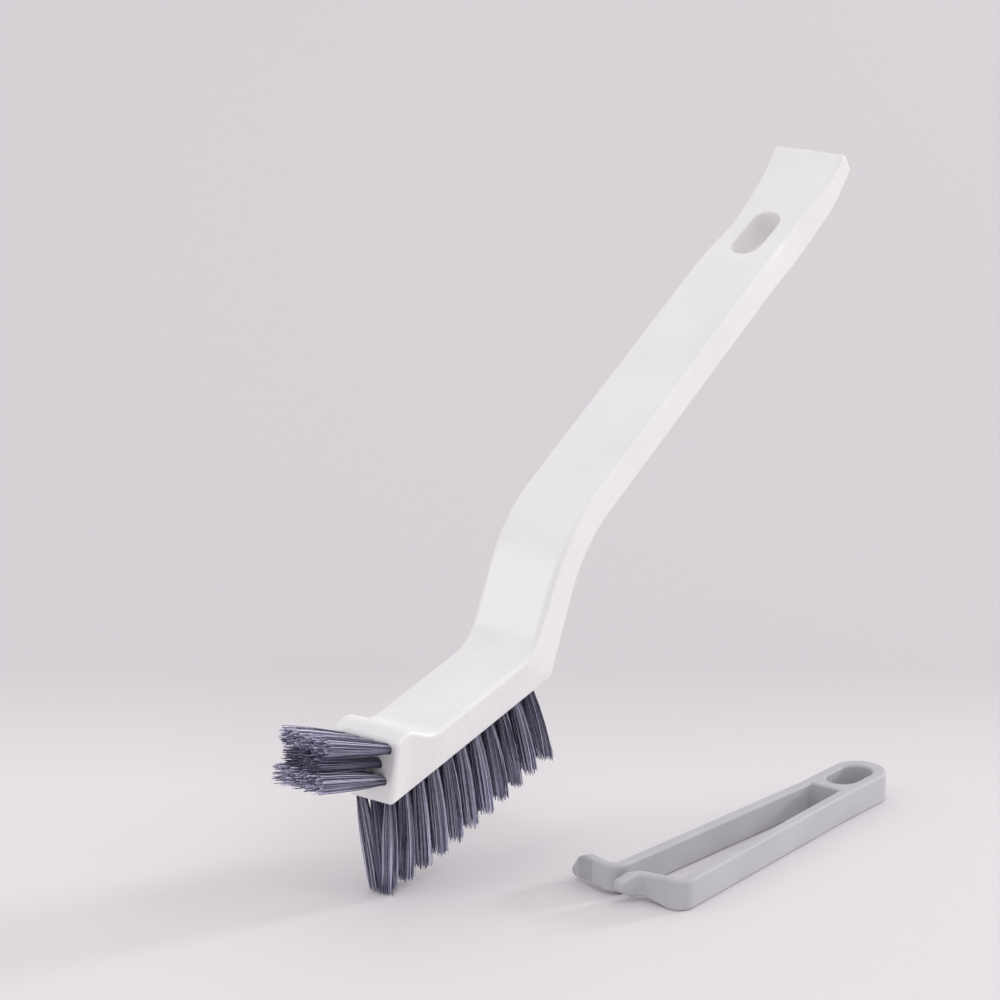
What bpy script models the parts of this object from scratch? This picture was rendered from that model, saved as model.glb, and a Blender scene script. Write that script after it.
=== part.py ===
# Crevice brush with a stiff offset handle, and the pair of tongs that comes with it.
# The brush stands on the tips of its toe bristles, and the tongs lie beside it on the floor.
import bpy
import bmesh
from math import atan2, cos, hypot, pi, radians, sin, tan
from mathutils import Vector

MM = 0.001

# Head: the block that holds the bristles, measured along its underside from the toe
HEAD_TILT = radians(13.0)
HEAD_LENGTH = 72.0 * MM
HEAD_THICKNESS = 13.4 * MM
HEAD_TOP_WIDTH = 22.6 * MM
HEAD_BASE_WIDTH = 14.2 * MM
TOE_HEIGHT = 18.8 * MM
TOE_SETBACK = 2.4 * MM
LIP_RISE = 6.6 * MM
LIP_REACH = 7.8 * MM
LIP_BASE_REACH = 7.0 * MM
VALLEY_REACH = 17.0 * MM

# Neck and handle, followed along their top edge
NECK_SETBACK = 11.6 * MM
NECK_ANGLE = radians(50.0)
NECK_LENGTH = 36.0 * MM
NECK_TOP_THICKNESS = 10.2 * MM
GRIP_ANGLE = radians(17.4)
GRIP_LENGTH = 112.0 * MM
GRIP_THICKNESS = 10.6 * MM
DIP_ANGLE = radians(12.0)
DIP_LENGTH = 14.0 * MM
SLOT_THICKNESS = 11.2 * MM
RISE_ANGLE = radians(19.9)
RISE_LENGTH = 20.9 * MM
RISE_THICKNESS = 9.8 * MM
TAIL_ANGLE = radians(31.0)
TAIL_LENGTH = 11.5 * MM
TAIL_THICKNESS = 7.4 * MM
NECK_WIDTH = 23.6 * MM
GRIP_WIDTH = 22.6 * MM
SLOT_REGION_WIDTH = 20.6 * MM
FLARE_WIDTH = 23.0 * MM
HANDLE_DRAFT = 1.8 * MM
TAIL_WIDTH = 24.6 * MM

# How far each bend of the side outline is softened, from its corner
LIP_BEND = 2.4 * MM
VALLEY_BEND = 3.6 * MM
FOOT_BEND = 7.0 * MM
HEEL_BEND = 1.6 * MM
NECK_BEND = 14.0 * MM
HANDLE_BEND = 6.8 * MM
TAIL_BEND = 5.4 * MM
BEND_STEPS = 5

# Rounding of the moulding's long edges and ends
TOP_EDGE_RADIUS = 1.8 * MM
BASE_EDGE_RADIUS = 0.8 * MM
END_RADIUS = 1.2 * MM
EDGE_STEPS = 3
SHARP_ANGLE = radians(35.0)

# Hanging slot through the tail of the handle
SLOT_LENGTH = 19.4 * MM
SLOT_WIDTH = 9.0 * MM
SLOT_OFFSET = -2.6 * MM
ROUND_END_SIDES = 12

# Shallow recess that lightens the underside of the grip
RECESS_LENGTH = 84.0 * MM
RECESS_WIDTH = 11.0 * MM
RECESS_DEPTH = 2.4 * MM
CUT_MARGIN = 4.0 * MM

# Holes and tufts: each tuft fills a blind hole and fans out of it
TUFT_RADIUS = 1.15 * MM
HOLE_CLEARANCE = 0.3 * MM
HOLE_DEPTH = 4.2 * MM
TUFT_SIDES = 8
TUFT_ROWS = 11
TUFT_TOE_EDGE = 2.4 * MM
TUFT_HEEL_EDGE = 7.9 * MM
TUFT_SPACING = 4.8 * MM
BRISTLE_LENGTH = 27.6 * MM
TOE_LEAN = radians(-5.2)
HEEL_LEAN = radians(11.1)
SIDE_LEAN = radians(3.6)
TIP_RADIUS = 1.25 * MM
STRAND_SHARE = 0.88
STRAND_TIP_SHARE = 0.9

# Nose tufts, set in the toe face and reaching forward and up from it
NOSE_LENGTH = 27.4 * MM
NOSE_ANGLE = radians(29.4)
NOSE_MIDDLE_HEIGHT = 11.8 * MM
NOSE_ROW_PITCH = 4.75 * MM
NOSE_TIP_PITCH = 4.9 * MM
NOSE_TOP_SPACING = 4.9 * MM
NOSE_MIDDLE_SPACING = 3.7 * MM
NOSE_BOTTOM_SPACING = 3.2 * MM
NOSE_TIP_SPACING = 4.2 * MM
NOSE_OUTER_COUNT = 4
NOSE_MIDDLE_COUNT = 3

# Tongs: one springy moulding, shown as a ring and two arms that flex at their roots
CLIP_HEIGHT = 8.4 * MM
ARM_THICKNESS = 3.2 * MM
RING_RADIUS = 7.8 * MM
EYE_LENGTH = 16.2 * MM
RING_END_WALL = 4.4 * MM
BRIDGE_THICKNESS = 3.8 * MM
STUB_LENGTH = 1.6 * MM
ARM_GAP = 0.3 * MM
FAR_ARM_LENGTH = 82.0 * MM
FAR_ARM_SPLAY = radians(3.4)
NEAR_ARM_LENGTH = 76.7 * MM
NEAR_ARM_SPLAY = radians(2.0)
FAR_JAW_ANGLE = radians(104.0)
FAR_JAW_LENGTH = 15.5 * MM
NEAR_JOG_ANGLE = radians(95.0)
NEAR_JOG_LENGTH = 14.4 * MM
NEAR_TIP_ANGLE = radians(12.0)
NEAR_TIP_LENGTH = 9.0 * MM
NEAR_TIP_TAPER = 1.2 * MM
JAW_WEDGE_HEIGHT = 2.8 * MM
JAW_WEDGE_LENGTH = 3.2 * MM
JAW_BEND = 3.0 * MM
TOOTH_COUNT = 7
TOOTH_PITCH = 1.0 * MM
TOOTH_DEPTH = 0.5 * MM
TOOTH_END = 0.8 * MM
CLIP_EDGE = 0.4 * MM
CLIP_EDGE_STEPS = 2
CLIP_YAW = radians(-1.3)

# Places in the row: the middle of everything stands over the origin
TIP_CLEARANCE = 0.3 * MM
BRUSH_PLACE_X = -91.36 * MM
BRUSH_PLACE_Y = 29.61 * MM
CLIP_PLACE_X = 56.84 * MM
CLIP_PLACE_Y = -33.5 * MM

GLOSSY_WHITE = (0.83, 0.82, 0.83)
CLIP_GREY = (0.47, 0.46, 0.50)
BRISTLE_GREY = (0.13, 0.12, 0.16)
WHITE_ROUGHNESS = 0.25
CLIP_ROUGHNESS = 0.45
BRISTLE_ROUGHNESS = 0.6


def make_material(name, colour, roughness):
    made = bpy.data.materials.new(name)
    made.use_nodes = True
    shader = made.node_tree.nodes["Principled BSDF"]
    shader.inputs["Base Color"].default_value = (*colour, 1)
    shader.inputs["Roughness"].default_value = roughness
    made.diffuse_color = (*colour, 1)
    return made


def make_object(name, shape, surface, origin=Vector((0, 0, 0))):
    """Turns a bmesh in world coordinates into an object with its origin at the given point."""
    bmesh.ops.recalc_face_normals(shape, faces=shape.faces[:])
    bmesh.ops.translate(shape, verts=shape.verts[:], vec=-origin)
    mesh = bpy.data.meshes.new(name)
    shape.to_mesh(mesh)
    shape.free()
    made = bpy.data.objects.new(name, mesh)
    made.location = origin
    bpy.context.collection.objects.link(made)
    mesh.materials.append(surface)
    mesh.shade_smooth()
    mesh.set_sharp_from_angle(angle=SHARP_ANGLE)
    return made


def cut_from(target, name, shape, surface):
    """Cuts a hidden solid out of the target."""
    cutter = make_object(name, shape, surface)
    cutter.hide_render = True
    cutter.display_type = "WIRE"
    step = target.modifiers.new(name, "BOOLEAN")
    step.operation = "DIFFERENCE"
    step.solver = "EXACT"
    step.object = cutter


def loft(shape, rings):
    """Closed skin through rings that all have the same number of points."""
    placed = [[shape.verts.new(point) for point in ring] for ring in rings]
    count = len(placed[0])
    for first, second in zip(placed, placed[1:]):
        for index in range(count):
            following = (index + 1) % count
            shape.faces.new((first[index], first[following], second[following], second[index]))
    shape.faces.new(placed[0])
    shape.faces.new(placed[-1])


# Lines drawn in a plane, as pairs
def walk(start, steps):
    """Corner points reached by straight steps, each a length and an angle."""
    points = [start]
    for length, angle in steps:
        across, along = points[-1]
        points.append((across + length * cos(angle), along + length * sin(angle)))
    return points


def towards(point, goal, distance):
    share = distance / hypot(goal[0] - point[0], goal[1] - point[1])
    return tuple(start + (end - start) * share for start, end in zip(point, goal))


def soften(corners, bends, steps):
    """Replaces each inner corner with a curve that starts and ends the bend's distance from it.

    What a corner holds beyond its two coordinates, such as widths, is blended along with them.
    """
    points = [corners[0]]
    for before, corner, after, bend in zip(corners, corners[1:], corners[2:], bends):
        start = towards(corner, before, bend)
        end = towards(corner, after, bend)
        for index in range(steps + 1):
            share = index / steps
            points.append(tuple(s * (1 - share) ** 2 + 2 * c * share * (1 - share) + e * share ** 2
                                for s, c, e in zip(start, corner, end)))
    points.append(corners[-1])
    return points


# Brush frame: a runs from the toe to the heel, y to the brush's right, n up from the underside
def tip_depth():
    """Depth of the lowest bristle tip under the toe corner once the head is tilted."""
    reach = TUFT_TOE_EDGE + BRISTLE_LENGTH * tan(TOE_LEAN) - TIP_RADIUS
    return BRISTLE_LENGTH * cos(HEAD_TILT) - reach * sin(HEAD_TILT)


def brush_point(a, y, n):
    x = a * cos(HEAD_TILT) - n * sin(HEAD_TILT)
    z = a * sin(HEAD_TILT) + n * cos(HEAD_TILT)
    return Vector((x + BRUSH_PLACE_X, y + BRUSH_PLACE_Y, z + tip_depth() + TIP_CLEARANCE))


def top_corners():
    toe = (TOE_SETBACK, TOE_HEIGHT)
    lip = (LIP_REACH, HEAD_THICKNESS + LIP_RISE)
    valley = (VALLEY_REACH, HEAD_THICKNESS)
    foot = (HEAD_LENGTH - NECK_SETBACK, HEAD_THICKNESS)
    handle = walk(foot, [(NECK_LENGTH, NECK_ANGLE), (GRIP_LENGTH, GRIP_ANGLE), (DIP_LENGTH, DIP_ANGLE),
                         (RISE_LENGTH, RISE_ANGLE), (TAIL_LENGTH, TAIL_ANGLE)])
    return [toe, lip, valley, *handle]


def base_corners():
    """Corners of the underside, each under a corner of the top line."""
    angles = [NECK_ANGLE, GRIP_ANGLE, DIP_ANGLE, RISE_ANGLE, TAIL_ANGLE, TAIL_ANGLE]
    thicknesses = [NECK_TOP_THICKNESS, GRIP_THICKNESS, SLOT_THICKNESS, RISE_THICKNESS, TAIL_THICKNESS]
    corners = [(0.0, 0.0), (LIP_BASE_REACH, 0.0), (VALLEY_REACH, 0.0), (HEAD_LENGTH, 0.0)]
    handle_tops = top_corners()[len(corners):]
    for top, thickness, before, after in zip(handle_tops, thicknesses, angles, angles[1:]):
        middle = (before + after) / 2
        depth = thickness / cos((after - before) / 2)
        corners.append((top[0] + depth * sin(middle), top[1] - depth * cos(middle)))
    return corners


def body_stations():
    """Pairs of a top point and a base point along the moulding, each with its width."""
    handle_bends = [NECK_BEND, HANDLE_BEND, HANDLE_BEND, TAIL_BEND]
    handle = [NECK_WIDTH, GRIP_WIDTH, SLOT_REGION_WIDTH, FLARE_WIDTH, TAIL_WIDTH]
    head_count = len(top_corners()) - len(handle)
    tops = [HEAD_TOP_WIDTH] * head_count + handle
    bases = [HEAD_BASE_WIDTH] * head_count + [width - HANDLE_DRAFT for width in handle]
    top = soften([(*corner, width) for corner, width in zip(top_corners(), tops)],
                 [LIP_BEND, VALLEY_BEND, FOOT_BEND, *handle_bends], BEND_STEPS)
    base = soften([(*corner, width) for corner, width in zip(base_corners(), bases)],
                  [LIP_BEND, VALLEY_BEND, HEEL_BEND, *handle_bends], BEND_STEPS)
    return list(zip(top, base))


def corner_arc(half, level, radius, first, last):
    """Arc between two face directions, for a corner that lies at half and level."""
    pull = radius * tan((first - last) / 2)
    rise = -radius if first > 0 else radius
    turns = [first + (last - first) * step / EDGE_STEPS for step in range(EDGE_STEPS + 1)]
    return [(half - pull + radius * cos(turn), level + rise + radius * sin(turn)) for turn in turns]


def body_ring(station, inset=0.0):
    """Ring of points round one station, with rounded edges and sides drafted towards the base."""
    top, base = station
    height = hypot(top[0] - base[0], top[1] - base[1])
    half_top, half_base = top[2] / 2 - inset, base[2] / 2 - inset
    draft = atan2(half_top - half_base, height - 2 * inset)
    upper = corner_arc(half_top, height - inset, TOP_EDGE_RADIUS, pi / 2, -draft)
    lower = corner_arc(half_base, inset, BASE_EDGE_RADIUS, -draft, -pi / 2)
    side = upper + lower
    outline = side + [(-across, rise) for across, rise in reversed(side)]
    ring = []
    for across, rise in outline:
        a, n = towards(base, top, rise)[:2]
        ring.append(brush_point(a, across, n))
    return ring


def end_rings(station, following):
    """Rings that round the moulding's end off, from the flat end face inwards."""
    rings = []
    for step in range(EDGE_STEPS + 1):
        turn = pi / 2 * step / EDGE_STEPS
        depth = END_RADIUS * (1 - cos(turn))
        moved = [towards(point, goal, depth) for point, goal in zip(station, following)]
        rings.append(body_ring(moved, END_RADIUS * (1 - sin(turn))))
    return rings


def add_prism(shape, centre, along, across, up, outline, low, high):
    """Prism of an outline in the along and across directions, from low to high along up."""
    rings = [[centre + along * u + across * v + up * level for u, v in outline]
             for level in (low, high)]
    loft(shape, rings)


def round_ended(length, width):
    """Oblong outline with half-round ends."""
    radius = width / 2
    outline = []
    for side in (1, -1):
        for step in range(ROUND_END_SIDES + 1):
            turn = pi * step / ROUND_END_SIDES - pi / 2
            outline.append((side * (length / 2 - radius + radius * cos(turn)), side * radius * sin(turn)))
    return outline


def circle(radius, sides):
    return [(radius * cos(2 * pi * (step + 0.5) / sides), radius * sin(2 * pi * (step + 0.5) / sides))
            for step in range(sides)]


def brush_directions(angle):
    """Unit vectors along, to the right of and up from a line at an angle above the head's axis."""
    origin = brush_point(0, 0, 0)
    along = brush_point(cos(angle), 0, sin(angle)) - origin
    right = brush_point(0, 1, 0) - origin
    up = brush_point(-sin(angle), 0, cos(angle)) - origin
    return along, right, up


def slot_cutter():
    along, right, up = brush_directions((DIP_ANGLE + RISE_ANGLE) / 2)
    dip_end, rise_end, tail_end = top_corners()[-3:]
    centre = brush_point(dip_end[0], 0, dip_end[1]) + along * SLOT_OFFSET
    shape = bmesh.new()
    add_prism(shape, centre, along, right, up, round_ended(SLOT_LENGTH, SLOT_WIDTH),
              -SLOT_THICKNESS - CUT_MARGIN, CUT_MARGIN)
    return shape


def recess_cutter():
    """Oblong under the grip, midway between the neck and the dip."""
    start, end = base_corners()[-5:-3]
    along, right, up = brush_directions(atan2(end[1] - start[1], end[0] - start[0]))
    centre = (brush_point(start[0], 0, start[1]) + brush_point(end[0], 0, end[1])) / 2
    shape = bmesh.new()
    add_prism(shape, centre, along, right, up, round_ended(RECESS_LENGTH, RECESS_WIDTH),
              -CUT_MARGIN, RECESS_DEPTH)
    return shape


# Tufts: a seat is the exit point, two directions in the exit face and the direction out
def main_tufts():
    """Name, seat, tip centre and tip directions of each tuft under the head."""
    along, right, up = brush_directions(0)
    pitch = (HEAD_LENGTH - TUFT_TOE_EDGE - TUFT_HEEL_EDGE) / (TUFT_ROWS - 1)
    tufts = []
    for row in range(TUFT_ROWS):
        a = TUFT_TOE_EDGE + row * pitch
        lean = TOE_LEAN + (HEEL_LEAN - TOE_LEAN) * row / (TUFT_ROWS - 1)
        for column, place in enumerate(("left", "middle", "right")):
            y = (column - 1) * TUFT_SPACING
            pull = (column - 1) * BRISTLE_LENGTH * tan(SIDE_LEAN)
            seat = (brush_point(a, y, 0), along, right, -up)
            tip = brush_point(a + BRISTLE_LENGTH * tan(lean), y - pull, -BRISTLE_LENGTH)
            tufts.append((f"main_tuft_{row + 1:02d}_{place}", seat, tip, (along, right)))
    return tufts


def toe_directions():
    """Up the toe face, to the right, and out of it."""
    lean = atan2(TOE_SETBACK, TOE_HEIGHT)
    forward, right, up = brush_directions(-lean)
    return up, right, -forward


def nose_tufts():
    """Name, seat, tip centre and tip directions of each tuft in the toe face."""
    up_face, right, out = toe_directions()
    nose_along, nose_right, nose_up = brush_directions(-NOSE_ANGLE)
    rows = [("top", 1, NOSE_OUTER_COUNT, NOSE_TOP_SPACING),
            ("middle", 0, NOSE_MIDDLE_COUNT, NOSE_MIDDLE_SPACING),
            ("bottom", -1, NOSE_OUTER_COUNT, NOSE_BOTTOM_SPACING)]
    corner = brush_point(0, 0, 0)
    tufts = []
    for name, level, count, spacing in rows:
        for index in range(count):
            place = index - (count - 1) / 2
            rise = NOSE_MIDDLE_HEIGHT + level * NOSE_ROW_PITCH
            seat = (corner + up_face * rise + right * (place * spacing), right, up_face, out)
            middle = corner + up_face * NOSE_MIDDLE_HEIGHT - nose_along * NOSE_LENGTH
            tip = middle + nose_up * (level * NOSE_TIP_PITCH) + right * (place * NOSE_TIP_SPACING)
            tufts.append((f"nose_tuft_{name}_{index + 1}", seat, tip, (nose_right, nose_up)))
    return tufts


def hole_cutter(tufts):
    shape = bmesh.new()
    outline = circle(TUFT_RADIUS + HOLE_CLEARANCE, TUFT_SIDES)
    for name, (exit_point, first, second, out), tip, directions in tufts:
        add_prism(shape, exit_point, first, second, out, outline, -HOLE_DEPTH, CUT_MARGIN)
    return shape


def build_tuft(name, seat, tip, directions, surface):
    """Plug that sits in its hole, with one strand growing out of each slice of its end."""
    exit_point, first, second, out = seat
    outline = circle(TUFT_RADIUS, TUFT_SIDES)
    shape = bmesh.new()
    foot = exit_point - out * (HOLE_DEPTH - HOLE_CLEARANCE)
    low = [shape.verts.new(foot + first * u + second * v) for u, v in outline]
    rim = [shape.verts.new(exit_point + first * u + second * v) for u, v in outline]
    middle = shape.verts.new(exit_point)
    shape.faces.new(low)
    for index in range(TUFT_SIDES):
        following = (index + 1) % TUFT_SIDES
        shape.faces.new((low[index], low[following], rim[following], rim[index]))
        slice_corners = [middle, rim[index], rim[following]]
        turn = atan2(outline[index][1] + outline[following][1], outline[index][0] + outline[following][0])
        spread = directions[0] * (TIP_RADIUS * cos(turn)) + directions[1] * (TIP_RADIUS * sin(turn))
        add_strand(shape, slice_corners, tip + spread)
    return make_object(name, shape, surface)


def add_strand(shape, corners, tip):
    """Strand of three sides from the middle of a triangular slice to a tip."""
    centre = sum((corner.co for corner in corners), Vector()) / len(corners)
    root = [shape.verts.new(centre + (corner.co - centre) * STRAND_SHARE) for corner in corners]
    end = [shape.verts.new(tip + (corner.co - centre) * STRAND_SHARE * STRAND_TIP_SHARE)
           for corner in corners]
    for index in range(len(corners)):
        following = (index + 1) % len(corners)
        shape.faces.new((corners[index], corners[following], root[following], root[index]))
        shape.faces.new((root[index], root[following], end[following], end[index]))
    shape.faces.new(end)


# Tongs frame: u runs from the ring's end to the jaws, v towards the brush
def clip_point(u, v, z):
    x = CLIP_PLACE_X - u * cos(CLIP_YAW) - v * sin(CLIP_YAW)
    y = CLIP_PLACE_Y - u * sin(CLIP_YAW) + v * cos(CLIP_YAW)
    return Vector((x, y, z))


def bridge_end():
    return RING_END_WALL + EYE_LENGTH + BRIDGE_THICKNESS


def ring_outline():
    inner = RING_RADIUS - ARM_THICKNESS
    root = bridge_end() + STUB_LENGTH
    outline = []
    for step in range(2 * ROUND_END_SIDES + 1):
        turn = pi / 2 + pi * step / (2 * ROUND_END_SIDES)
        outline.append((RING_RADIUS + RING_RADIUS * cos(turn), RING_RADIUS * sin(turn)))
    stubs = [(root, -RING_RADIUS), (root, -inner), (bridge_end(), -inner), (bridge_end(), inner),
             (root, inner), (root, RING_RADIUS)]
    return outline + stubs


def build_ring(surface):
    shape = bmesh.new()
    loft(shape, [[clip_point(u, v, z) for u, v in ring_outline()] for z in (0.0, CLIP_HEIGHT)])
    ring = make_object("tongs_ring", shape, surface)
    eye = bmesh.new()
    middle = RING_END_WALL + EYE_LENGTH / 2
    outline = round_ended(EYE_LENGTH, 2 * (RING_RADIUS - ARM_THICKNESS))
    loft(eye, [[clip_point(middle + u, v, z) for u, v in outline]
               for z in (-CUT_MARGIN, CLIP_HEIGHT + CUT_MARGIN)])
    cut_from(ring, "cut_tongs_eye", eye, surface)
    edge = ring.modifiers.new("edge", "BEVEL")
    edge.width = CLIP_EDGE
    edge.segments = CLIP_EDGE_STEPS
    edge.limit_method = "ANGLE"
    edge.angle_limit = SHARP_ANGLE
    return ring


def arm_root(side):
    """Point on the floor under the middle of the gap between a stub and its arm."""
    u = bridge_end() + STUB_LENGTH + ARM_GAP / 2
    return clip_point(u, side * (RING_RADIUS - ARM_THICKNESS / 2), 0.0)


def arm_section(point, heading, front_cut, squeeze):
    """Upright section of an arm, with its edges taken off and a waist line at half height."""
    half = ARM_THICKNESS / 2
    normal = (-sin(heading), cos(heading))
    low, high = squeeze, CLIP_HEIGHT - squeeze
    middle = CLIP_HEIGHT / 2
    outline = [(half, low + CLIP_EDGE), (half, middle), (half, high - CLIP_EDGE),
               (half - CLIP_EDGE, high), (CLIP_EDGE - half, high), (-half, high - CLIP_EDGE),
               (-half, middle), (-half, low + CLIP_EDGE), (CLIP_EDGE - half, low),
               (half - CLIP_EDGE, low)]
    ring = []
    for across, z in outline:
        if across < 0:
            across += front_cut
        ring.append(clip_point(point[0] + normal[0] * across, point[1] + normal[1] * across, z))
    return ring


def arm_start(side):
    return (bridge_end() + STUB_LENGTH + ARM_GAP, side * (RING_RADIUS - ARM_THICKNESS / 2))


def headings(points):
    """Direction of travel at each point of a line."""
    made = []
    for index in range(len(points)):
        before = points[max(index - 1, 0)]
        after = points[min(index + 1, len(points) - 1)]
        made.append(atan2(after[1] - before[1], after[0] - before[0]))
    return made


def far_arm_places():
    """Places along the far arm, each with its tooth cut and its wedge squeeze."""
    corners = walk(arm_start(1), [(FAR_ARM_LENGTH, FAR_ARM_SPLAY), (FAR_JAW_LENGTH, FAR_JAW_ANGLE)])
    places = [(point, 0.0, 0.0) for point in soften(corners, [JAW_BEND], BEND_STEPS)[:-1]]
    count = TOOTH_COUNT * 2
    for step in range(count + 1):
        back = TOOTH_END + (count - step) * TOOTH_PITCH / 2
        squeeze = JAW_WEDGE_HEIGHT * max(0.0, 1 - back / JAW_WEDGE_LENGTH)
        cut = TOOTH_DEPTH if step % 2 else 0.0
        places.append((towards(corners[2], corners[1], back), cut, squeeze))
    places.append((corners[2], 0.0, JAW_WEDGE_HEIGHT))
    return places


def build_far_arm(surface):
    places = far_arm_places()
    directions = headings([place[0] for place in places])
    rings = [arm_section(point, heading, cut, squeeze)
             for (point, cut, squeeze), heading in zip(places, directions)]
    shape = bmesh.new()
    loft(shape, rings)
    return make_object("tongs_arm_far", shape, surface, arm_root(1))


def build_near_arm(surface):
    corners = walk(arm_start(-1), [(NEAR_ARM_LENGTH, -NEAR_ARM_SPLAY),
                                   (NEAR_JOG_LENGTH, NEAR_JOG_ANGLE),
                                   (NEAR_TIP_LENGTH, NEAR_TIP_ANGLE)])
    points = soften(corners, [JAW_BEND, JAW_BEND], BEND_STEPS)
    squeezes = [0.0] * (len(points) - 1) + [NEAR_TIP_TAPER]
    rings = [arm_section(point, heading, 0.0, squeeze)
             for point, heading, squeeze in zip(points, headings(points), squeezes)]
    shape = bmesh.new()
    loft(shape, rings)
    return make_object("tongs_arm_near", shape, surface, arm_root(-1))


def build_body(surface, tufts):
    stations = body_stations()
    rings = end_rings(stations[0], stations[1])
    rings += [body_ring(station) for station in stations[1:-1]]
    rings += reversed(end_rings(stations[-1], stations[-2]))
    shape = bmesh.new()
    loft(shape, rings)
    body = make_object("handle_and_head", shape, surface)
    cut_from(body, "cut_bristle_holes", hole_cutter(tufts), surface)
    cut_from(body, "cut_hanging_slot", slot_cutter(), surface)
    cut_from(body, "cut_grip_recess", recess_cutter(), surface)
    return body


def main():
    for existing in list(bpy.data.objects):
        bpy.data.objects.remove(existing, do_unlink=True)
    white = make_material("glossy_white_plastic", GLOSSY_WHITE, WHITE_ROUGHNESS)
    grey = make_material("grey_tongs_plastic", CLIP_GREY, CLIP_ROUGHNESS)
    bristle = make_material("grey_bristle", BRISTLE_GREY, BRISTLE_ROUGHNESS)
    tufts = main_tufts() + nose_tufts()
    build_body(white, tufts)
    for name, seat, tip, directions in tufts:
        build_tuft(name, seat, tip, directions, bristle)
    build_ring(grey)
    build_far_arm(grey)
    build_near_arm(grey)


main()
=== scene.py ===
# Looks of the crevice brush and its tongs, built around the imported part
import bpy
import bmesh
from math import atan2, cos, hypot, pi, radians, sin, sqrt, tan
from mathutils import Matrix, Vector
from random import Random


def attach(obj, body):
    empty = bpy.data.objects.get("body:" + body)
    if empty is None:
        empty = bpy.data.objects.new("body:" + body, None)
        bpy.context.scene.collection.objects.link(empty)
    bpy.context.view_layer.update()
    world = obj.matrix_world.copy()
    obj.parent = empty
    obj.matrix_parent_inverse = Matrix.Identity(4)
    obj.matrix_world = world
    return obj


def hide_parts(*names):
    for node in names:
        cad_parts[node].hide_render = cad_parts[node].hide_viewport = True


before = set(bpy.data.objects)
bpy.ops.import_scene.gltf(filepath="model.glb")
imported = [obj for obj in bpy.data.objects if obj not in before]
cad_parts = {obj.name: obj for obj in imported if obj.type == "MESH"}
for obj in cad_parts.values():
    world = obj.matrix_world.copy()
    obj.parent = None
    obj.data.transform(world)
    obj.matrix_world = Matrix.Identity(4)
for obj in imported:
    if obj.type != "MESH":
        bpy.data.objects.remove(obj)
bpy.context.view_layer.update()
mm = 0.001
goldenTurn = pi * (3 - sqrt(5))  # spreads strands evenly over a tuft
sliver = 0.02 * mm  # anything narrower than this is merged away before edges are rounded


# Shapes and objects
def linkShape(name, shape):
    mesh = bpy.data.meshes.new(name)
    shape.to_mesh(mesh)
    shape.free()
    made = bpy.data.objects.new(name, mesh)
    bpy.context.scene.collection.objects.link(made)
    return made


def makeSolid(name, shape):
    bmesh.ops.recalc_face_normals(shape, faces=shape.faces[:])
    return linkShape(name, shape)


def makeObject(name, shape, material, body, nodes):
    made = makeSolid(name, shape)
    made.data.materials.append(material)
    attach(made, body)
    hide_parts(*nodes)
    return made


def bakeModifiers(made):
    graph = bpy.context.evaluated_depsgraph_get()
    graph.update()
    baked = bpy.data.meshes.new_from_object(made.evaluated_get(graph))
    made.modifiers.clear()
    made.data = baked


def cutAway(made, cutters):
    for cutter in cutters:
        step = made.modifiers.new(cutter.name, "BOOLEAN")
        step.operation = "DIFFERENCE"
        step.solver = "EXACT"
        step.object = cutter
    bakeModifiers(made)
    for cutter in cutters:
        bpy.data.objects.remove(cutter)


def smoothShading(made, sharpAngle):
    made.data.shade_smooth()
    made.data.set_sharp_from_angle(angle=sharpAngle)
    step = made.modifiers.new("evenNormals", "WEIGHTED_NORMAL")
    step.keep_sharp = True
    bakeModifiers(made)


def roundEdges(shape, edges, radius, steps):
    bmesh.ops.bevel(shape, geom=edges, offset=radius, segments=steps, profile=0.5, material=-1,
                    affect="EDGES", clamp_overlap=False, loop_slide=False)


# Rounds the sharp edges whose middle passes the test
def roundSharpEdges(made, test, sharpAngle, radius, steps):
    shape = bmesh.new()
    shape.from_mesh(made.data)
    bmesh.ops.dissolve_degenerate(shape, dist=sliver, edges=shape.edges[:])
    edges = [edge for edge in shape.edges
             if edge.calc_face_angle(0) > sharpAngle and test((edge.verts[0].co + edge.verts[1].co) / 2)]
    roundEdges(shape, edges, radius, steps)
    shape.to_mesh(made.data)
    shape.free()


# Draws a face out one step, and drops the old face unless it closes the near end
def growFace(shape, face, first):
    grown = bmesh.ops.extrude_face_region(shape, geom=[face])["geom"]
    if face != first:
        shape.faces.remove(face)
    return next(part for part in grown if isinstance(part, bmesh.types.BMFace))


# A four-cornered face drawn through a row of sections, with the corner's number kept on each vertex
def sweepFace(sections):
    shape = bmesh.new()
    corner = shape.verts.layers.int.new("corner")
    for index, point in enumerate(sections[0]):
        shape.verts.new(point)[corner] = index
    first = shape.faces.new(shape.verts[:])
    last = first
    for section in sections[1:]:
        last = growFace(shape, last, first)
        for vert in last.verts:
            vert.co = section[vert[corner]]
    return shape, corner, first, last


def turnTo(first, second, third):
    return Matrix((first, second, third)).transposed().to_4x4()


def addRod(shape, middle, turn, sides, radius, depth):
    bmesh.ops.create_cone(shape, cap_ends=True, segments=sides, radius1=radius, radius2=radius,
                          depth=depth, matrix=Matrix.Translation(middle) @ turn)


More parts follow.
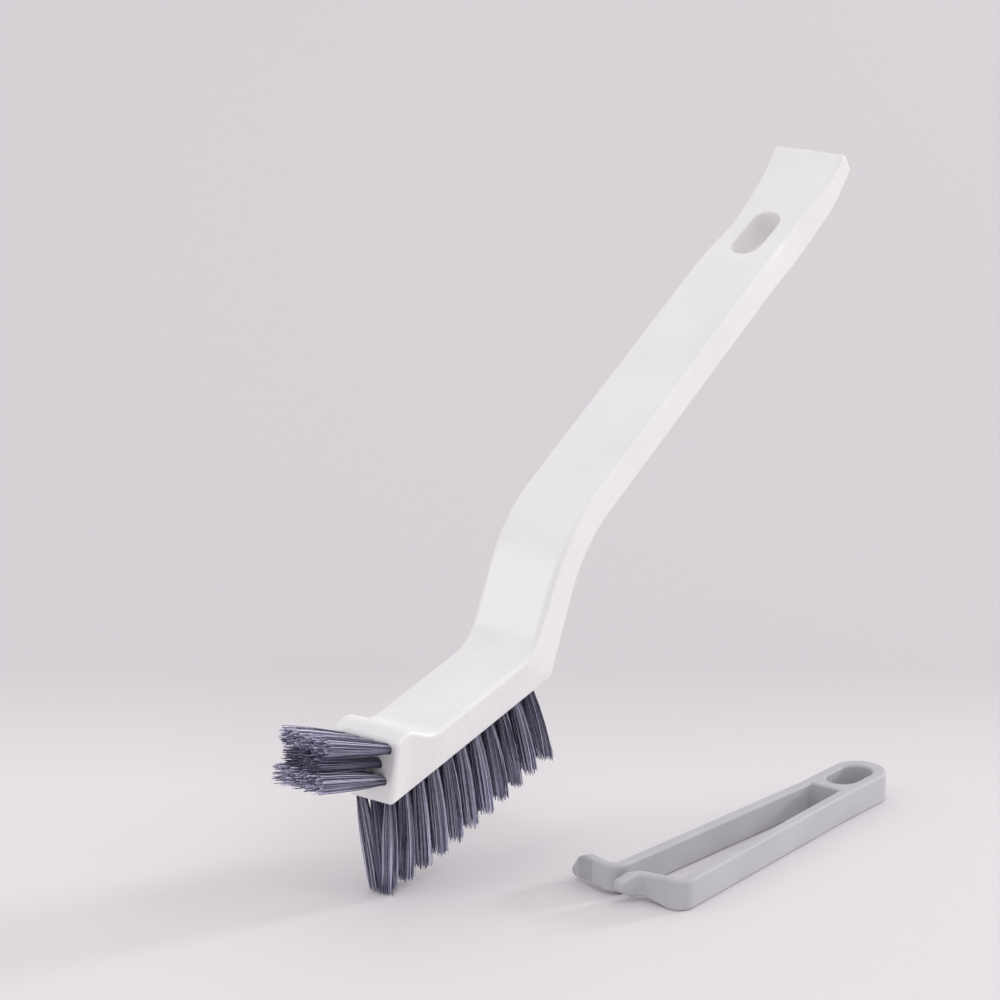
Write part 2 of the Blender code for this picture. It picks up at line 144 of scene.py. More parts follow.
# A round-ended block: a circle pulled apart and drawn up, then laid in the given directions
def roundEndedBlock(centre, directions, length, width, low, high, sides):
    shape = bmesh.new()
    bmesh.ops.create_circle(shape, cap_ends=True, segments=sides, radius=width / 2,
                            matrix=Matrix.Rotation(pi / sides, 4, "Z"))
    for vert in shape.verts:
        vert.co.x += (length - width) / 2 * (1 if vert.co.x > 0 else -1)
        vert.co.z = low
    grown = bmesh.ops.extrude_face_region(shape, geom=shape.faces[:])["geom"]
    for vert in [part for part in grown if isinstance(part, bmesh.types.BMVert)]:
        vert.co.z = high
    bmesh.ops.transform(shape, verts=shape.verts[:],
                        matrix=Matrix.Translation(centre) @ turnTo(*directions))
    return shape


# Lines in a plane
def walk(start, steps):
    points = [start]
    for length, angle in steps:
        across, along = points[-1]
        points.append((across + length * cos(angle), along + length * sin(angle)))
    return points


def towards(point, goal, distance):
    share = distance / hypot(goal[0] - point[0], goal[1] - point[1])
    return tuple(start + (end - start) * share for start, end in zip(point, goal))


# Turns each corner into a curve that leaves and joins its sides at the bend's distance from it
def soften(corners, bends, steps):
    points = [corners[0]]
    for before, corner, after, bend in zip(corners, corners[1:], corners[2:], bends):
        start = towards(corner, before, bend)
        end = towards(corner, after, bend)
        for index in range(steps + 1):
            share = index / steps
            points.append(tuple(s * (1 - share) ** 2 + 2 * c * share * (1 - share) + e * share ** 2
                                for s, c, e in zip(start, corner, end)))
    points.append(corners[-1])
    return points


# Materials
def startMaterial(name):
    made = bpy.data.materials.new(name)
    made.use_nodes = True
    return made, made.node_tree.nodes, made.node_tree.links, made.node_tree.nodes["Principled BSDF"]


def addAttribute(nodes, name):
    attribute = nodes.new("ShaderNodeAttribute")
    attribute.attribute_name = name
    return attribute.outputs["Fac"]


def addNoise(nodes, links, place, scale, detail, roughness):
    noise = nodes.new("ShaderNodeTexNoise")
    noise.inputs["Scale"].default_value = scale
    noise.inputs["Detail"].default_value = detail
    noise.inputs["Roughness"].default_value = roughness
    links.new(place, noise.inputs["Vector"])
    return noise.outputs["Fac"]


def addRamp(nodes, links, factor, places, colours):
    ramp = nodes.new("ShaderNodeValToRGB")
    elements = ramp.color_ramp.elements
    while len(elements) < len(places):
        elements.new(0.5)
    for element, place, colour in zip(elements, places, colours):
        element.position = place
        element.color = (*colour, 1)
    links.new(factor, ramp.inputs["Fac"])
    return ramp.outputs["Color"]


def addRange(nodes, links, value, lowHigh, newLowHigh):
    made = nodes.new("ShaderNodeMapRange")
    made.inputs["From Min"].default_value, made.inputs["From Max"].default_value = lowHigh
    made.inputs["To Min"].default_value, made.inputs["To Max"].default_value = newLowHigh
    links.new(value, made.inputs["Value"])
    return made.outputs["Result"]


def addBump(nodes, links, height, shader, strength, distance):
    bump = nodes.new("ShaderNodeBump")
    bump.inputs["Strength"].default_value = strength
    bump.inputs["Distance"].default_value = distance
    links.new(height, bump.inputs["Height"])
    links.new(bump.outputs["Normal"], shader.inputs["Normal"])


def setFinish(shader, look):
    shader.inputs["Roughness"].default_value = look["roughness"]
    shader.inputs["Specular IOR Level"].default_value = look["specular"]


# Clouds shift both plastics' colour and roughness, and a fine grain roughens their surface
plasticNoise = {"cloudDetail": 4, "cloudRoughness": 0.5, "grainDetail": 3, "grainRoughness": 0.6,
                "colourRange": (0.35, 0.65), "roughnessRange": (0.3, 0.7), "bumpDistance": 0.05 * mm}
plasticLook = {"colours": [(0.80, 0.79, 0.80), (0.83, 0.82, 0.83)], "roughness": (0.22, 0.32),
               "cloudScale": 60, "grainScale": 900, "bumpStrength": 0.05}
tongsLook = {"colours": [(0.47, 0.46, 0.50), (0.51, 0.50, 0.54)], "roughness": (0.52, 0.62),
             "cloudScale": 80, "grainScale": 1600, "bumpStrength": 0.15}


def plasticMaterial(name, look):
    made, nodes, links, shader = startMaterial(name)
    place = nodes.new("ShaderNodeTexCoord").outputs["Object"]
    cloud = addNoise(nodes, links, place, look["cloudScale"], plasticNoise["cloudDetail"],
                     plasticNoise["cloudRoughness"])
    grain = addNoise(nodes, links, place, look["grainScale"], plasticNoise["grainDetail"],
                     plasticNoise["grainRoughness"])
    colour = addRamp(nodes, links, cloud, plasticNoise["colourRange"], look["colours"])
    links.new(colour, shader.inputs["Base Color"])
    rough = addRange(nodes, links, cloud, plasticNoise["roughnessRange"], look["roughness"])
    links.new(rough, shader.inputs["Roughness"])
    addBump(nodes, links, grain, shader, look["bumpStrength"], plasticNoise["bumpDistance"])
    return made


bristleLook = {"colours": [(0.03, 0.026, 0.055), (0.262, 0.25, 0.352), (0.64, 0.625, 0.78)],
               "shades": (0.15, 0.65, 1), "rootShadeToTip": (0.72, 1.35), "roughness": 0.42, "specular": 0.15,
               "streakScale": 700, "streakDetail": 2, "streakRoughness": 0.5, "streakShare": 0.35}


# Strand colours come from each strand's own shade value (with painted shade on the middle tufts), then
# painted shade darkens them towards the roots, and they get lighter towards the tips
def bristleMaterial():
    made, nodes, links, shader = startMaterial("greyBristle")
    place = nodes.new("ShaderNodeTexCoord").outputs["Object"]
    streak = addNoise(nodes, links, place, bristleLook["streakScale"], bristleLook["streakDetail"],
                      bristleLook["streakRoughness"])
    mix = nodes.new("ShaderNodeMath")
    mix.operation = "MULTIPLY_ADD"
    links.new(streak, mix.inputs[0])
    mix.inputs[1].default_value = bristleLook["streakShare"]
    links.new(addAttribute(nodes, "shade"), mix.inputs[2])
    colour = addRamp(nodes, links, mix.outputs[0], bristleLook["shades"], bristleLook["colours"])
    # Painted shade: the colour is scaled down at the roots and up towards the tips
    rootShade = nodes.new("ShaderNodeVectorMath")
    rootShade.operation = "SCALE"
    links.new(colour, rootShade.inputs[0])
    scale = addRange(nodes, links, addAttribute(nodes, "reach"), (0, 1), bristleLook["rootShadeToTip"])
    links.new(scale, rootShade.inputs["Scale"])
    links.new(rootShade.outputs["Vector"], shader.inputs["Base Color"])
    setFinish(shader, bristleLook)
    return made


whitePlastic = plasticMaterial("glossyWhitePlastic", plasticLook)
greyTongs = plasticMaterial("greyTongsPlastic", tongsLook)
greyBristle = bristleMaterial()
print("materials made")


# Brush frame: a runs from the toe to the heel, y to the brush's right, n up from the underside
head = {"tilt": radians(13), "length": 72 * mm, "thickness": 13.4 * mm, "topWidth": 22.6 * mm,
        "baseWidth": 14.2 * mm, "toeHeight": 18.8 * mm, "toeSetback": 2.4 * mm, "lipRise": 6.6 * mm,
        "lipReach": 7.8 * mm, "lipBaseReach": 7 * mm, "valleyReach": 17 * mm, "neckSetback": 11.6 * mm,
        "placeX": -91.36 * mm, "placeY": 29.61 * mm, "tipClearance": 0.3 * mm}
# Lengths and angles of the neck, grip, dip, rise and tail along the top, then the thickness and width
# where each ends, and the bends from the lip to the rise
handle = {"steps": [(36 * mm, radians(50)), (112 * mm, radians(17.4)), (14 * mm, radians(12)),
                    (20.9 * mm, radians(19.9)), (11.5 * mm, radians(31))],
          "thicknesses": [10.2 * mm, 10.6 * mm, 11.2 * mm, 9.8 * mm, 7.4 * mm],
          "widths": [23.6 * mm, 22.6 * mm, 20.6 * mm, 23 * mm, 24.6 * mm], "draft": 1.8 * mm,
          "topBends": [2.4 * mm, 3.6 * mm, 7 * mm, 14 * mm, 6.8 * mm, 6.8 * mm, 5.4 * mm],
          "baseBends": [2.4 * mm, 3.6 * mm, 1.6 * mm, 14 * mm, 6.8 * mm, 6.8 * mm, 5.4 * mm],
          "bendSteps": 14, "topEdge": 1.8 * mm, "baseEdge": 0.8 * mm, "endEdge": 1.2 * mm,
          "edgeSteps": 6, "sharpAngle": radians(35)}
hangingSlot = {"length": 19.4 * mm, "width": 9 * mm, "offset": -2.6 * mm, "rim": 0.7 * mm, "rimSteps": 4}
recess = {"length": 83 * mm, "width": 11 * mm, "depth": 2.4 * mm, "rim": 0.3 * mm, "rimSteps": 3}
cutting = {"sides": 64, "margin": 4 * mm, "sharpAngle": radians(40)}
# The heel rows are trimmed, and the left column's first rows gather towards the middle
tuft = {"holeRadius": 1.45 * mm, "holeDepth": 4.2 * mm, "holeSides": 20, "gap": 0.3 * mm,
        "rows": 11, "toeEdge": 2.4 * mm, "heelEdge": 7.9 * mm, "spacing": 4.8 * mm,
        "length": 27.6 * mm, "toeLean": radians(-5.2), "heelLean": radians(11.1), "sideLean": radians(3.6),
        "cadTipRadius": 1.25 * mm, "heelTrim": 2.6 * mm, "trimPower": 1.6, "gather": 1.6 * mm,
        "gatherRows": 3}
# Each row of the toe face has a name, a level, a count and a spacing
nose = {"length": 27.4 * mm, "angle": radians(29.4), "height": 11.8 * mm, "rowPitch": 4.75 * mm,
        "tipPitch": 4.9 * mm, "tipSpacing": 4.2 * mm,
        "rows": [("top", 1, 4, 4.9 * mm), ("middle", 0, 3, 3.7 * mm), ("bottom", -1, 4, 3.2 * mm)]}


def tipDepth():
    reach = tuft["toeEdge"] + tuft["length"] * tan(tuft["toeLean"]) - tuft["cadTipRadius"]
    return tuft["length"] * cos(head["tilt"]) - reach * sin(head["tilt"])


def brushPoint(a, y, n):
    x = a * cos(head["tilt"]) - n * sin(head["tilt"])
    z = a * sin(head["tilt"]) + n * cos(head["tilt"])
    return Vector((x + head["placeX"], y + head["placeY"], z + tipDepth() + head["tipClearance"]))


def brushDirections(angle):
    origin = brushPoint(0, 0, 0)
    return (brushPoint(cos(angle), 0, sin(angle)) - origin, brushPoint(0, 1, 0) - origin,
            brushPoint(-sin(angle), 0, cos(angle)) - origin)


def topCorners():
    start = [(head["toeSetback"], head["toeHeight"]),
             (head["lipReach"], head["thickness"] + head["lipRise"]),
             (head["valleyReach"], head["thickness"])]
    return start + walk((head["length"] - head["neckSetback"], head["thickness"]), handle["steps"])


def baseCorners():
    angles = [angle for length, angle in handle["steps"]]
    corners = [(0, 0), (head["lipBaseReach"], 0), (head["valleyReach"], 0), (head["length"], 0)]
    tops = topCorners()[len(corners):]
    for top, thickness, before, after in zip(tops, handle["thicknesses"], angles, angles[1:] + angles[-1:]):
        middle = (before + after) / 2
        depth = thickness / cos((after - before) / 2)
        corners.append((top[0] + depth * sin(middle), top[1] - depth * cos(middle)))
    return corners


def bodySections():
    headCount = len(topCorners()) - len(handle["widths"])
    tops = [head["topWidth"]] * headCount + handle["widths"]
    bases = [head["baseWidth"]] * headCount + [width - handle["draft"] for width in handle["widths"]]
    top = soften([(*corner, width) for corner, width in zip(topCorners(), tops)],
                 handle["topBends"], handle["bendSteps"])
    base = soften([(*corner, width) for corner, width in zip(baseCorners(), bases)],
                  handle["baseBends"], handle["bendSteps"])
    return [[brushPoint(u[0], -u[2] / 2, u[1]), brushPoint(u[0], u[2] / 2, u[1]),
             brushPoint(d[0], d[2] / 2, d[1]), brushPoint(d[0], -d[2] / 2, d[1])]
            for u, d in zip(top, base)]


# A tuft's seat where it leaves its hole, two directions in the face, the way out, and its way and tip
def tuftPlace(name, kind, inner, seat, first, second, out, tip):
    return {"name": name, "kind": kind, "inner": inner, "seat": seat, "first": first, "second": second,
            "out": out, "way": (tip - seat).normalized(), "tip": tip}


def mainTufts():
    along, right, up = brushDirections(0)
    lastRow = tuft["rows"] - 1
    pitch = (head["length"] - tuft["toeEdge"] - tuft["heelEdge"]) / lastRow
    made = []
    for row in range(tuft["rows"]):
        a = tuft["toeEdge"] + row * pitch
        lean = tuft["toeLean"] + (tuft["heelLean"] - tuft["toeLean"]) * row / lastRow
        for column, side in enumerate(("left", "middle", "right")):
            y = (column - 1) * tuft["spacing"]
            pull = (column - 1) * tuft["length"] * tan(tuft["sideLean"])
            tip = brushPoint(a + tuft["length"] * tan(lean), y - pull, -tuft["length"])
            place = tuftPlace(f"main_tuft_{row + 1:02d}_{side}", "main", side == "middle",
                              brushPoint(a, y, 0), along, right, -up, tip)
            place["tip"] -= place["way"] * (tuft["heelTrim"] * (row / lastRow) ** tuft["trimPower"])
            if side == "left":
                place["tip"] += right * (tuft["gather"] * max(0, 1 - row / tuft["gatherRows"]))
            made.append(place)
    return made


def noseTufts():
    lean = atan2(head["toeSetback"], head["toeHeight"])
    forward, right, upFace = brushDirections(-lean)
    noseAlong, noseRight, noseUp = brushDirections(-nose["angle"])
    corner = brushPoint(0, 0, 0)
    middle = corner + upFace * nose["height"] - noseAlong * nose["length"]
    made = []
    for name, level, count, spacing in nose["rows"]:
        for index in range(count):
            across = index - (count - 1) / 2
            seat = corner + upFace * (nose["height"] + level * nose["rowPitch"]) + right * (across * spacing)
            tip = middle + noseUp * (level * nose["tipPitch"]) + right * (across * nose["tipSpacing"])
            made.append(tuftPlace(f"nose_tuft_{name}_{index + 1}", "nose", name == "middle",
                                  seat, right, upFace, -forward, tip))
    return made


def addTuftRod(shape, place, low, high, radius):
    first, second = place["first"], place["second"]
    addRod(shape, place["seat"] + place["out"] * ((low + high) / 2),
           turnTo(first, second, first.cross(second)), tuft["holeSides"], radius, high - low)


# The white moulding: head, neck, grip and tail in one sweep, then the slot, recess and bristle holes
def buildMoulding(tufts):
    shape, corner, first, last = sweepFace(bodySections())
    weight = shape.edges.layers.float.new("bevel_weight_edge")
    widest = max(handle["topEdge"], handle["baseEdge"], handle["endEdge"])
    for edge in shape.edges:
        ends = [vert[corner] for vert in edge.verts]
        if ends[0] == ends[1]:
            radius = handle["topEdge"] if ends[0] < 2 else handle["baseEdge"]
            edge[weight] = radius / widest
    for face in (first, last):
        for edge in face.edges:
            edge[weight] = handle["endEdge"] / widest
    made = makeObject("handleAndHead", shape, whitePlastic, "brush",
                      ["handle_and_head"])
    step = made.modifiers.new("edges", "BEVEL")
    step.width = widest
    step.segments = handle["edgeSteps"]
    step.limit_method = "WEIGHT"
    step.use_clamp_overlap = False
    bakeModifiers(made)

    steps = handle["steps"]
    neck, grip, dip, rise = 0, 1, 2, 3  # places among the handle's steps
    slotDirections = brushDirections((steps[dip][1] + steps[rise][1]) / 2)
    along = slotDirections[0]
    dipEnd = topCorners()[dip - len(steps)]
    centre = brushPoint(dipEnd[0], 0, dipEnd[1]) + along * hangingSlot["offset"]
    slotBlock = roundEndedBlock(centre, slotDirections, hangingSlot["length"], hangingSlot["width"],
                                -handle["thicknesses"][dip] - cutting["margin"], cutting["margin"],
                                cutting["sides"])
    start, end = [baseCorners()[place - len(steps)] for place in (neck, grip)]
    gripDirections = brushDirections(atan2(end[1] - start[1], end[0] - start[0]))
    middle = (brushPoint(start[0], 0, start[1]) + brushPoint(end[0], 0, end[1])) / 2
    recessBlock = roundEndedBlock(middle, gripDirections, recess["length"], recess["width"],
                                  -cutting["margin"], recess["depth"], cutting["sides"])
    cutAway(made, [makeSolid("slotCutter", slotBlock), makeSolid("recessCutter", recessBlock)])
    nearSlot = lambda point: (point - centre).dot(along) > -hangingSlot["length"]
    nearRecess = lambda point: (point - centre).dot(along) < -hangingSlot["length"]
    for test, opening in ((nearSlot, hangingSlot), (nearRecess, recess)):
        roundSharpEdges(made, test, cutting["sharpAngle"], opening["rim"], opening["rimSteps"])

    holes = bmesh.new()
    for place in tufts:
        addTuftRod(holes, place, -tuft["holeDepth"], tuft["gap"], tuft["holeRadius"])
    cutAway(made, [makeSolid("holeCutter", holes)])
    smoothShading(made, handle["sharpAngle"])
    print("handle and head built", len(made.data.polygons), "faces")


# Spreads and bulges are along the tuft's first and second directions; the inner tone below 1 is painted
# shade that darkens the middle tufts
strand = {"count": 100, "sides": 4, "levels": 4, "radius": 0.13 * mm, "tipShare": 0.8,
          "rootRadius": 1.32 * mm, "mainSpread": (1.8 * mm, 1.75 * mm), "noseSpread": (2.2 * mm, 3 * mm),
          "mainBulge": (0, 1.9 * mm), "noseBulge": (0.7 * mm, 0.7 * mm), "middle": 0.5,
          "jitter": 0.3 * mm, "uneven": (-1.2 * mm, 0.6 * mm), "wander": 0.14 * mm,
          "floorGap": 0.1 * mm, "innerPaintedShade": 0.48, "sharpAngle": radians(100), "seed": 7}


# One upright strand, from 0 to 1, that each bristle is shaped from
def strandMesh():
    shape = bmesh.new()
    bmesh.ops.create_circle(shape, cap_ends=True, segments=strand["sides"], radius=1)
    first = next(iter(shape.faces))
    last = first
    for level in range(strand["levels"]):
        last = growFace(shape, last, first)
        bmesh.ops.translate(shape, verts=last.verts[:], vec=(0, 0, 1 / strand["levels"]))
    mesh = bpy.data.meshes.new("oneStrand")
    shape.to_mesh(mesh)
    shape.free()
    return mesh


# Lays one strand along the curve from start to finish that bend pulls on
def addStrand(shape, template, first, second, start, bend, finish):
    shape.from_mesh(template)
    shape.verts.ensure_lookup_table()
    for vert in shape.verts[-len(template.vertices):]:
        share = vert.co.z
        centre = start * (1 - share) ** 2 + bend * (2 * share * (1 - share)) + finish * share ** 2
        thick = strand["radius"] * (1 - (1 - strand["tipShare"]) * share)
        point = centre + first * (vert.co.x * thick) + second * (vert.co.y * thick)
        point.z = max(point.z, strand["floorGap"])
        vert.co = point


# Gives the strands' vertices their values, and the plug's vertices after them none
def storeValues(made, name, values):
    rest = len(made.data.vertices) - len(values)
    attribute = made.data.attributes.new(name, "FLOAT", "POINT")
    attribute.data.foreach_set("value", values + [0] * rest)


def buildTuft(place, template, chance):
    first, second, seat, way = place["first"], place["second"], place["seat"], place["way"]
    wide, deep = strand[place["kind"] + "Spread"]
    wideBulge, deepBulge = strand[place["kind"] + "Bulge"]
    # Middle tufts get painted shade: their strands' shade values are scaled down as if shaded by the tufts
    # around them
    toneWithShade = strand["innerPaintedShade"] if place["inner"] else 1
    shape = bmesh.new()
    tonesWithShade = []
    for index in range(strand["count"]):
        spread = sqrt((index + 0.5) / strand["count"])
        angle = index * goldenTurn
        root = (first * cos(angle) + second * sin(angle)) * (spread * strand["rootRadius"])
        end = (first * (cos(angle) * wide) + second * (sin(angle) * deep)) * spread
        end += first * chance.gauss(0, strand["jitter"]) + second * chance.gauss(0, strand["jitter"])
        end += way * chance.uniform(*strand["uneven"])
        start = seat + root - place["out"] * (tuft["gap"] * 2)
        finish = place["tip"] + end
        bend = start.lerp(finish, strand["middle"])
        bend += (first * (cos(angle) * wideBulge) + second * (sin(angle) * deepBulge)) * spread
        bend += first * chance.gauss(0, strand["wander"]) + second * chance.gauss(0, strand["wander"])
        tonesWithShade.append(chance.random() * toneWithShade)
        addStrand(shape, template, first, second, start, bend, finish)
    addTuftRod(shape, place, tuft["gap"] - tuft["holeDepth"], -tuft["gap"],
               tuft["holeRadius"] - tuft["gap"] / 2)
    name = place["name"].replace("_tuft", "Tuft").replace("_", "")
    made = makeObject(name, shape, greyBristle, "brush", [place["name"]])
    shares = [vert.co.z for vert in template.vertices]
    storeValues(made, "shade", [toneWithShade for toneWithShade in tonesWithShade for share in shares])
    storeValues(made, "reach", shares * len(tonesWithShade))
    made.data.shade_smooth()
    made.data.set_sharp_from_angle(angle=strand["sharpAngle"])


# Tongs frame: u runs from the ring's end to the jaws, v towards the brush
tongs = {"height": 8.4 * mm, "thickness": 3.2 * mm, "ringRadius": 7.8 * mm, "eyeLength": 16.2 * mm,
         "endWall": 4.4 * mm, "bridge": 3.8 * mm, "stub": 1.6 * mm, "gap": 0.3 * mm,
         "yaw": radians(-1.3), "placeX": 56.84 * mm, "placeY": -33.5 * mm, "edge": 0.8 * mm,
         "edgeSteps": 4, "bendSteps": 12, "sides": 64, "sharpAngle": radians(35),
         "margin": 4 * mm, "cutMargin": 0.1 * mm, "notchStretch": 2}
# Low is how far the underside is lifted off the floor and high how far the top is lowered; jawTip has
# the distance from the jaw's end, then both
farArm = {"length": 82 * mm, "splay": radians(3.4), "jawAngle": radians(104), "jawLength": 16.1 * mm,
          "jawLow": 1.3 * mm, "jawHigh": 0.1 * mm, "bend": 4.6 * mm,
          "jawTip": [(5.6 * mm, 1.4 * mm, 0.1 * mm), (2.7 * mm, 1 * mm, 1.2 * mm),
                     (1.3 * mm, 1.1 * mm, 3.2 * mm), (0, 1.7 * mm, 5 * mm)],
          "teeth": 7, "pitch": 0.8 * mm, "toothDepth": 0.3 * mm, "toothSides": 4, "toothEnd": 3.2 * mm}
nearArm = {"length": 79.5 * mm, "splay": radians(2), "jogAngle": radians(95), "jogLength": 14.4 * mm,
           "tipAngle": radians(12), "tipLength": 8.2 * mm, "jogLow": 1.1 * mm, "jogHigh": 0.9 * mm,
           "tipLow": 3.9 * mm, "tipHigh": 1.9 * mm, "bend": 3.7 * mm}


def tongsPoint(u, v, z):
    x = tongs["placeX"] - u * cos(tongs["yaw"]) - v * sin(tongs["yaw"])
    y = tongs["placeY"] - u * sin(tongs["yaw"]) + v * cos(tongs["yaw"])
    return Vector((x, y, z))


def bridgeEnd():
    return tongs["endWall"] + tongs["eyeLength"] + tongs["bridge"]


def stubEnd():
    return bridgeEnd() + tongs["stub"] + tongs["gap"] / 2


# The ring: a round-ended block cut off square where the arms begin, with the eye and the notch cut out
def buildRing():
    radius = tongs["ringRadius"]
    inner = radius - tongs["thickness"]
    origin = tongsPoint(0, 0, 0)
    directions = (tongsPoint(1, 0, 0) - origin, tongsPoint(0, 1, 0) - origin, Vector((0, 0, 1)))
    along = directions[0]
    length = stubEnd() + radius
    shape = roundEndedBlock(tongsPoint(length / 2, 0, 0), directions, length, 2 * radius, 0,
                            tongs["height"], tongs["sides"] * 2)
    start = tongsPoint(stubEnd(), 0, 0)
    everything = shape.verts[:] + shape.edges[:] + shape.faces[:]
    cut = bmesh.ops.bisect_plane(shape, geom=everything, plane_co=start, plane_no=along, clear_outer=True)
    bmesh.ops.holes_fill(shape, edges=[e for e in cut["geom_cut"] if isinstance(e, bmesh.types.BMEdge)])
    made = makeObject("tongsRing", shape, greyTongs, "tongs", ["tongs_ring"])
    eye = roundEndedBlock(tongsPoint(tongs["endWall"] + tongs["eyeLength"] / 2, 0, 0), directions,
                          tongs["eyeLength"], 2 * inner, -tongs["margin"],
                          tongs["height"] + tongs["margin"], tongs["sides"])
    notch = bmesh.new()
    bmesh.ops.create_cube(notch, size=2 * inner)
    middle = Matrix.Translation(tongsPoint(bridgeEnd() + inner, 0, 0))
    stretch = Matrix.Diagonal((1, 1, tongs["notchStretch"], 1))
    bmesh.ops.transform(notch, verts=notch.verts[:], matrix=middle @ turnTo(*directions) @ stretch)
    cutAway(made, [makeSolid("eyeCutter", eye), makeSolid("notchCutter", notch)])
    notAtCut = lambda point: (point - start).dot(along) < -tongs["cutMargin"]
    roundSharpEdges(made, notAtCut, tongs["sharpAngle"], tongs["edge"], tongs["edgeSteps"])
    smoothShading(made, tongs["sharpAngle"])
    print("tongs ring built", len(made.data.polygons), "faces")


def headings(points):
    made = []
    for index in range(len(points)):
        before = points[max(index - 1, 0)]
        after = points[min(index + 1, len(points) - 1)]
        made.append(atan2(after[1] - before[1], after[0] - before[0]))
    return made


# An arm's sections along its line, each lifted off the floor and lowered at the top as its pair says
def armSections(points, squeezes):
    half = tongs["thickness"] / 2
    sections = []
    for point, heading, (low, high) in zip(points, headings(points), squeezes):
        normal = (-sin(heading), cos(heading))
        corners = [(half, low), (half, tongs["height"] - high),
                   (-half, tongs["height"] - high), (-half, low)]
        sections.append([tongsPoint(point[0] + normal[0] * across, point[1] + normal[1] * across, z)
                         for across, z in corners])
    return sections


def buildArm(name, points, squeezes, body, node):
    shape, corner, first, last = sweepFace(armSections(points, squeezes))
    edges = [edge for edge in shape.edges
             if edge.verts[0][corner] == edge.verts[1][corner] or edge in last.edges[:]]
    roundEdges(shape, edges, tongs["edge"], tongs["edgeSteps"])
    return makeObject(name, shape, greyTongs, body, [node])


# Upright rods that cut the grooves into the far jaw's inner face
def toothBlock(tip, back):
    shape = bmesh.new()
    heading = atan2(tip[1] - back[1], tip[0] - back[0])
    normal = (-sin(heading), cos(heading))
    half = tongs["thickness"] / 2
    for index in range(farArm["teeth"]):
        place = towards(tip, back, farArm["toothEnd"] + (index + 0.5) * farArm["pitch"])
        middle = tongsPoint(place[0] - normal[0] * half, place[1] - normal[1] * half, tongs["height"] / 2)
        addRod(shape, middle, Matrix.Identity(4), farArm["toothSides"], farArm["toothDepth"],
               tongs["height"] * 2)
    return shape


def buildArms():
    start = stubEnd()
    side = tongs["ringRadius"] - tongs["thickness"] / 2
    rest = tongs["gap"] / 2
    bendSteps = tongs["bendSteps"]
    corners = walk((start, side), [(farArm["length"] + rest, farArm["splay"]),
                                   (farArm["jawLength"], farArm["jawAngle"])])
    points = soften(corners, [farArm["bend"]], bendSteps)[:-1]
    shares = [index / bendSteps for index in range(bendSteps + 1)]
    squeezes = [(0, 0)] + [(farArm["jawLow"] * share, farArm["jawHigh"] * share) for share in shares]
    for distance, low, high in farArm["jawTip"]:
        points.append(towards(corners[-1], corners[-2], distance))
        squeezes.append((low, high))
    made = buildArm("tongsFarArm", points, squeezes, "far_arm", "tongs_arm_far")
    cutAway(made, [makeSolid("toothCutter", toothBlock(corners[-1], corners[-2]))])
    smoothShading(made, tongs["sharpAngle"])

    corners = walk((start, -side), [(nearArm["length"] + rest, -nearArm["splay"]),
                                    (nearArm["jogLength"], nearArm["jogAngle"]),
                                    (nearArm["tipLength"], nearArm["tipAngle"])])
    points = soften(corners, [nearArm["bend"]] * 2, bendSteps)
    squeezes = [(0, 0)] * (bendSteps + 2)
    squeezes += [(nearArm["jogLow"], nearArm["jogHigh"])] * (bendSteps + 1)
    squeezes.append((nearArm["tipLow"], nearArm["tipHigh"]))
    made = buildArm("tongsNearArm", points, squeezes, "near_arm", "tongs_arm_near")
    smoothShading(made, tongs["sharpAngle"])
    print("tongs arms built")


tufts = mainTufts() + noseTufts()
buildMoulding(tufts)
oneStrand = strandMesh()
chance = Random(strand["seed"])
for place in tufts:
    buildTuft(place, oneStrand, chance)
bpy.data.meshes.remove(oneStrand)
print("tufts built", len(tufts))
buildRing()
buildArms()


# Floor, light and camera
floorLook = {"size": 12, "colours": [(0.755, 0.727, 0.745), (0.63, 0.603, 0.626)],
             "edges": (0.03, 0.13), "angle": radians(-53), "roughness": 0.7, "specular": 0.1}


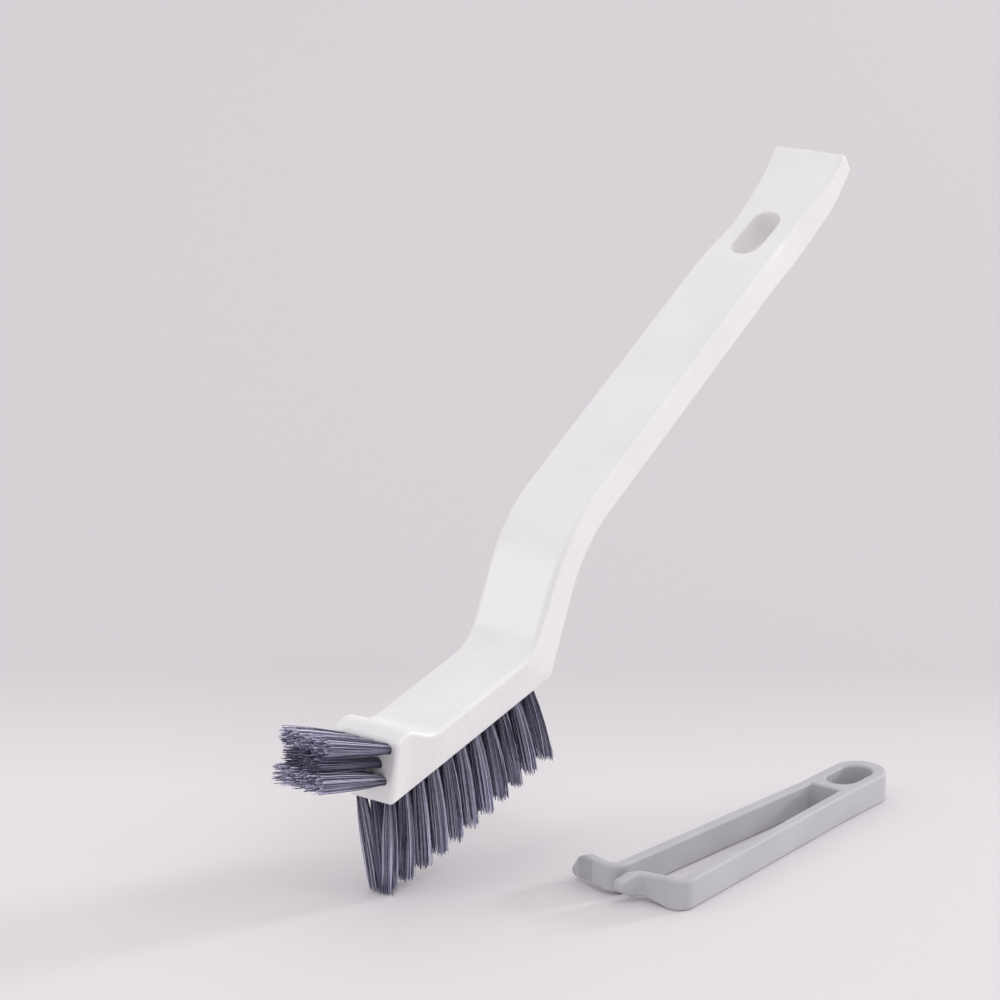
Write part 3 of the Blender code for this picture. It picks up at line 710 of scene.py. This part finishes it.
# A pale floor that darkens a little between its two edges, away from the camera
def buildFloor():
    shape = bmesh.new()
    bmesh.ops.create_grid(shape, x_segments=1, y_segments=1, size=floorLook["size"])
    floor = linkShape("floor", shape)
    made, nodes, links, shader = startMaterial("paleFloor")
    floor.data.materials.append(made)
    place = nodes.new("ShaderNodeTexCoord").outputs["Object"]
    across = nodes.new("ShaderNodeVectorMath")
    across.operation = "DOT_PRODUCT"
    across.inputs[1].default_value = (-sin(floorLook["angle"]), cos(floorLook["angle"]), 0)
    links.new(place, across.inputs[0])
    share = addRange(nodes, links, across.outputs["Value"], floorLook["edges"], (0, 1))
    colour = addRamp(nodes, links, share, (0, 1), floorLook["colours"])
    links.new(colour, shader.inputs["Base Color"])
    setFinish(shader, floorLook)


# The window throws the shadows, the lantern draws a bright line along the near top edge, and the
# skylight gives the neck its sheen
light = {"world": 0.9, "worldColour": (1, 0.99, 1), "distance": 5.2, "lamps": [
    {"name": "window", "energy": 96, "size": 0.8, "turn": radians(-26), "rise": radians(15)},
    {"name": "lantern", "energy": 16, "size": 1.4, "turn": radians(-74), "rise": radians(47)},
    {"name": "skylight", "energy": 20, "size": 1.6, "turn": radians(140), "rise": radians(27)}]}


def buildLight():
    world = bpy.data.worlds.new("softRoom")
    bpy.context.scene.world = world
    world.use_nodes = True
    back = world.node_tree.nodes["Background"]
    back.inputs["Color"].default_value = (*light["worldColour"], 1)
    back.inputs["Strength"].default_value = light["world"]
    for each in light["lamps"]:
        lamp = bpy.data.lights.new(each["name"], "AREA")
        lamp.shape = "SQUARE"
        lamp.size = each["size"]
        lamp.energy = each["energy"]
        made = bpy.data.objects.new(each["name"], lamp)
        way = Vector((cos(each["rise"]) * cos(each["turn"]), cos(each["rise"]) * sin(each["turn"]),
                      sin(each["rise"])))
        made.location = way * light["distance"]
        made.rotation_euler = way.to_track_quat("Z", "Y").to_euler()
        bpy.context.scene.collection.objects.link(made)


view = {"place": (-0.77159, -0.52539, 0.36571), "tilt": radians(73.7), "turn": radians(-53),
        "lens": 129.6, "sensor": 36, "nearest": 0.01}


def buildCamera():
    lens = bpy.data.cameras.new("camera")
    lens.lens = view["lens"]
    lens.sensor_width = view["sensor"]
    lens.clip_start = view["nearest"]
    made = bpy.data.objects.new("camera", lens)
    made.location = view["place"]
    made.rotation_euler = (view["tilt"], 0, view["turn"])
    bpy.context.scene.collection.objects.link(made)
    bpy.context.scene.camera = made
    bpy.context.scene.view_settings.view_transform = "Standard"


buildFloor()
buildLight()
buildCamera()
print("floor, light and camera placed")
